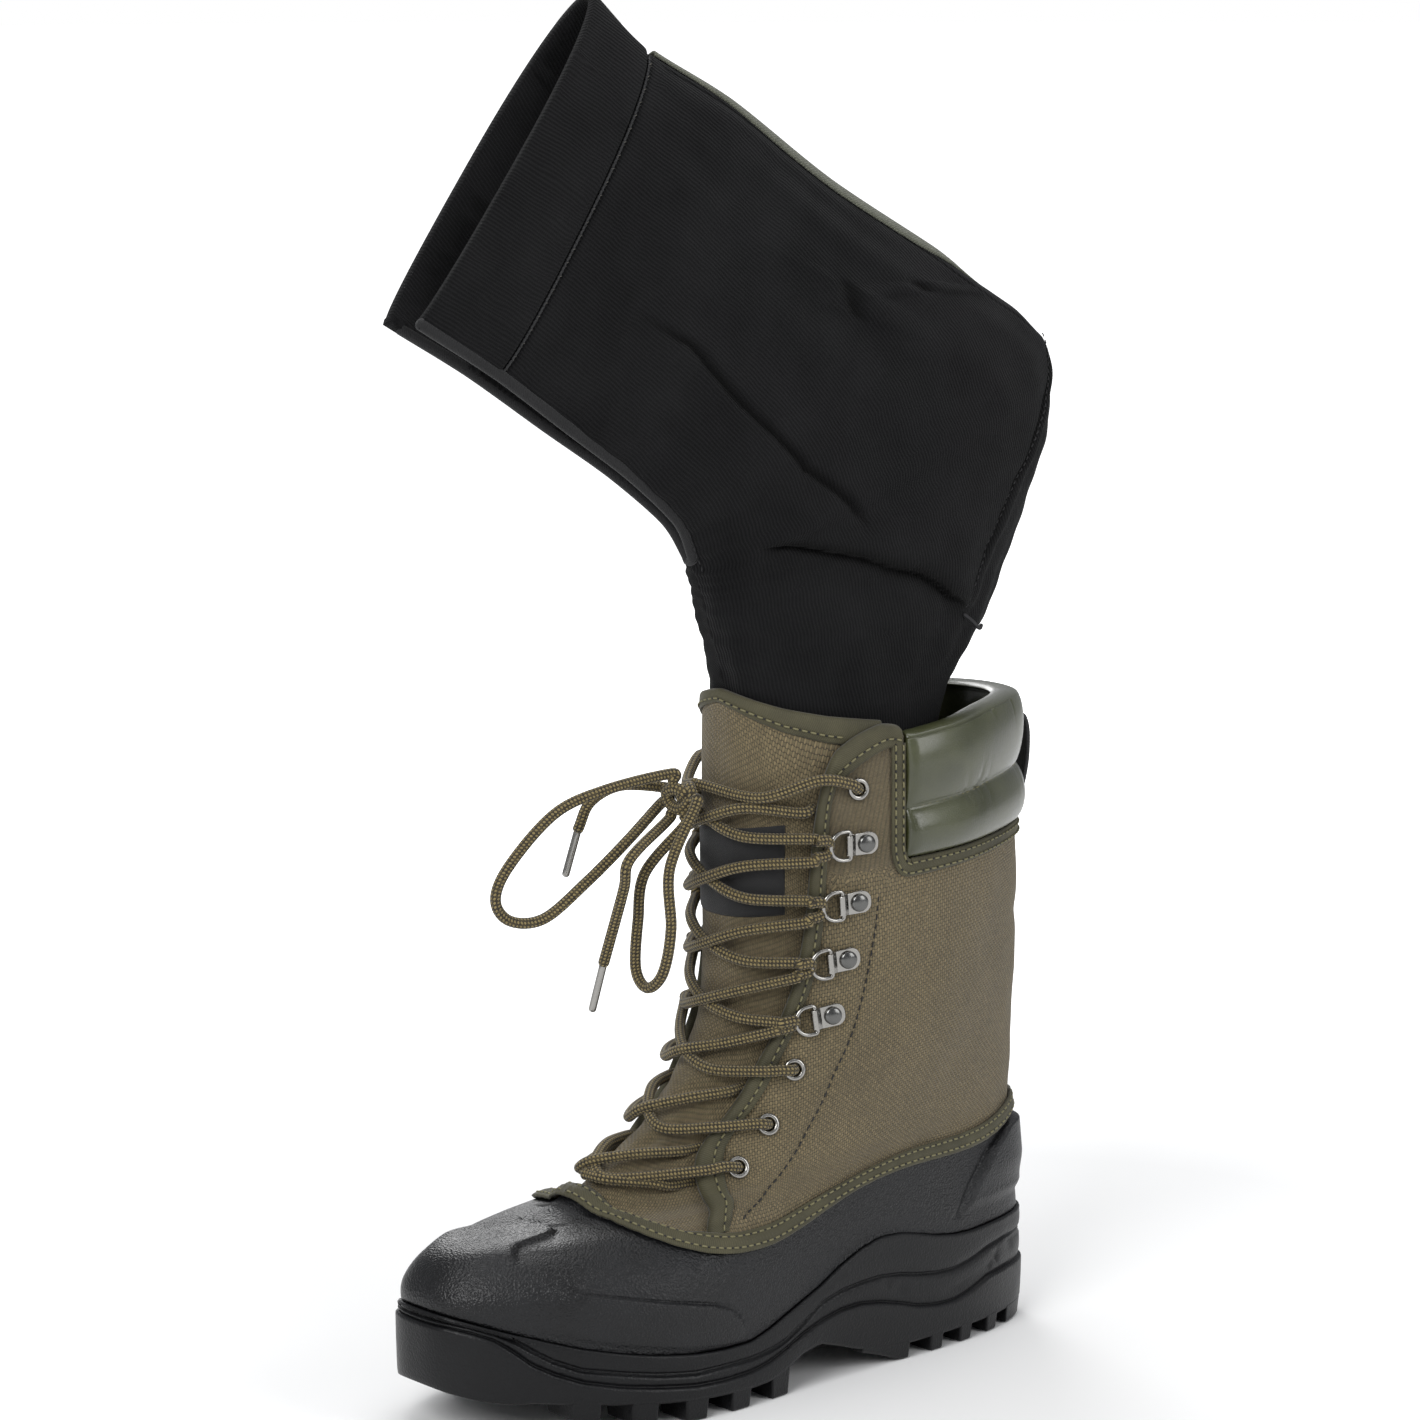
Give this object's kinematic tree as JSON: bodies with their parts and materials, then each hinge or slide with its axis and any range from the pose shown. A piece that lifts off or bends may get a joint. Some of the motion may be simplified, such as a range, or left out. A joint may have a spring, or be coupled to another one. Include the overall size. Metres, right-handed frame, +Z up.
{
  "type": "insulated lace-up winter boot",
  "caption": "Lace-up winter boot with rubber galosh shell, lugged sole, canvas shaft, padded collar and a knit bootie drawn half out.",
  "frame": {"origin": "on the floor under the middle of the heel, in the middle of the centre heel lug", "axes": "+Z up from the floor, -Y toward the toe, +X toward the outer side of the left foot"},
  "size_m": [0.1159, 0.3463, 0.5919],
  "materials": {
    "rubber_shell": "satin charcoal rubber with a fine pebble",
    "rubber_sole": "matt black moulded rubber",
    "canvas": "coarse olive-brown woven nylon",
    "tape": "olive green binding tape",
    "collar_cover": "glossy dark olive coated cover, padded",
    "black_web": "black webbing",
    "bootie_knit": "black knit over padding",
    "insole_felt": "grey felt",
    "nickel": "nickel plate, lightly worn",
    "lace_cord": "round braid, tan with dark flecks"
  },
  "bodies": {
    "root": {"outsole": "rubber_sole", "insole": "insole_felt", "shell": "rubber_shell", "quarters": "canvas", "tongue": "canvas", "shell_binding": "tape", "throat_binding_left": "tape", "throat_binding_right": "tape", "tongue_binding": "tape", "collar": "collar_cover", "collar_trim": "tape", "pull_loop": "black_web", "bootie_cuff": "bootie_knit", "bootie_leg": "bootie_knit", "bootie_foot": "bootie_knit", "lace_crossings": "lace_cord", "eyelet_1_outer": "nickel", "eyelet_1_inner": "nickel", "eyelet_6_outer": "nickel", "eyelet_6_inner": "nickel", "eyelet_7_outer": "nickel", "eyelet_7_inner": "nickel", "eyelet_8_outer": "nickel", "eyelet_8_inner": "nickel", "clip_2_outer": "nickel", "ring_2_outer": "nickel", "rivet_2_outer": "nickel", "clip_2_inner": "nickel", "ring_2_inner": "nickel", "rivet_2_inner": "nickel", "clip_3_outer": "nickel", "ring_3_outer": "nickel", "rivet_3_outer": "nickel", "clip_3_inner": "nickel", "ring_3_inner": "nickel", "rivet_3_inner": "nickel", "clip_4_outer": "nickel", "ring_4_outer": "nickel", "rivet_4_outer": "nickel", "clip_4_inner": "nickel", "ring_4_inner": "nickel", "rivet_4_inner": "nickel", "clip_5_outer": "nickel", "ring_5_outer": "nickel", "rivet_5_outer": "nickel", "clip_5_inner": "nickel", "ring_5_inner": "nickel", "rivet_5_inner": "nickel", "lace_knot": "lace_cord", "lace_loop_left": "lace_cord", "lace_loop_right": "lace_cord", "lace_end_left": "lace_cord", "lace_end_right": "lace_cord", "lace_tip_left": "nickel", "lace_tip_right": "nickel"}
  },
  "joints": []
}
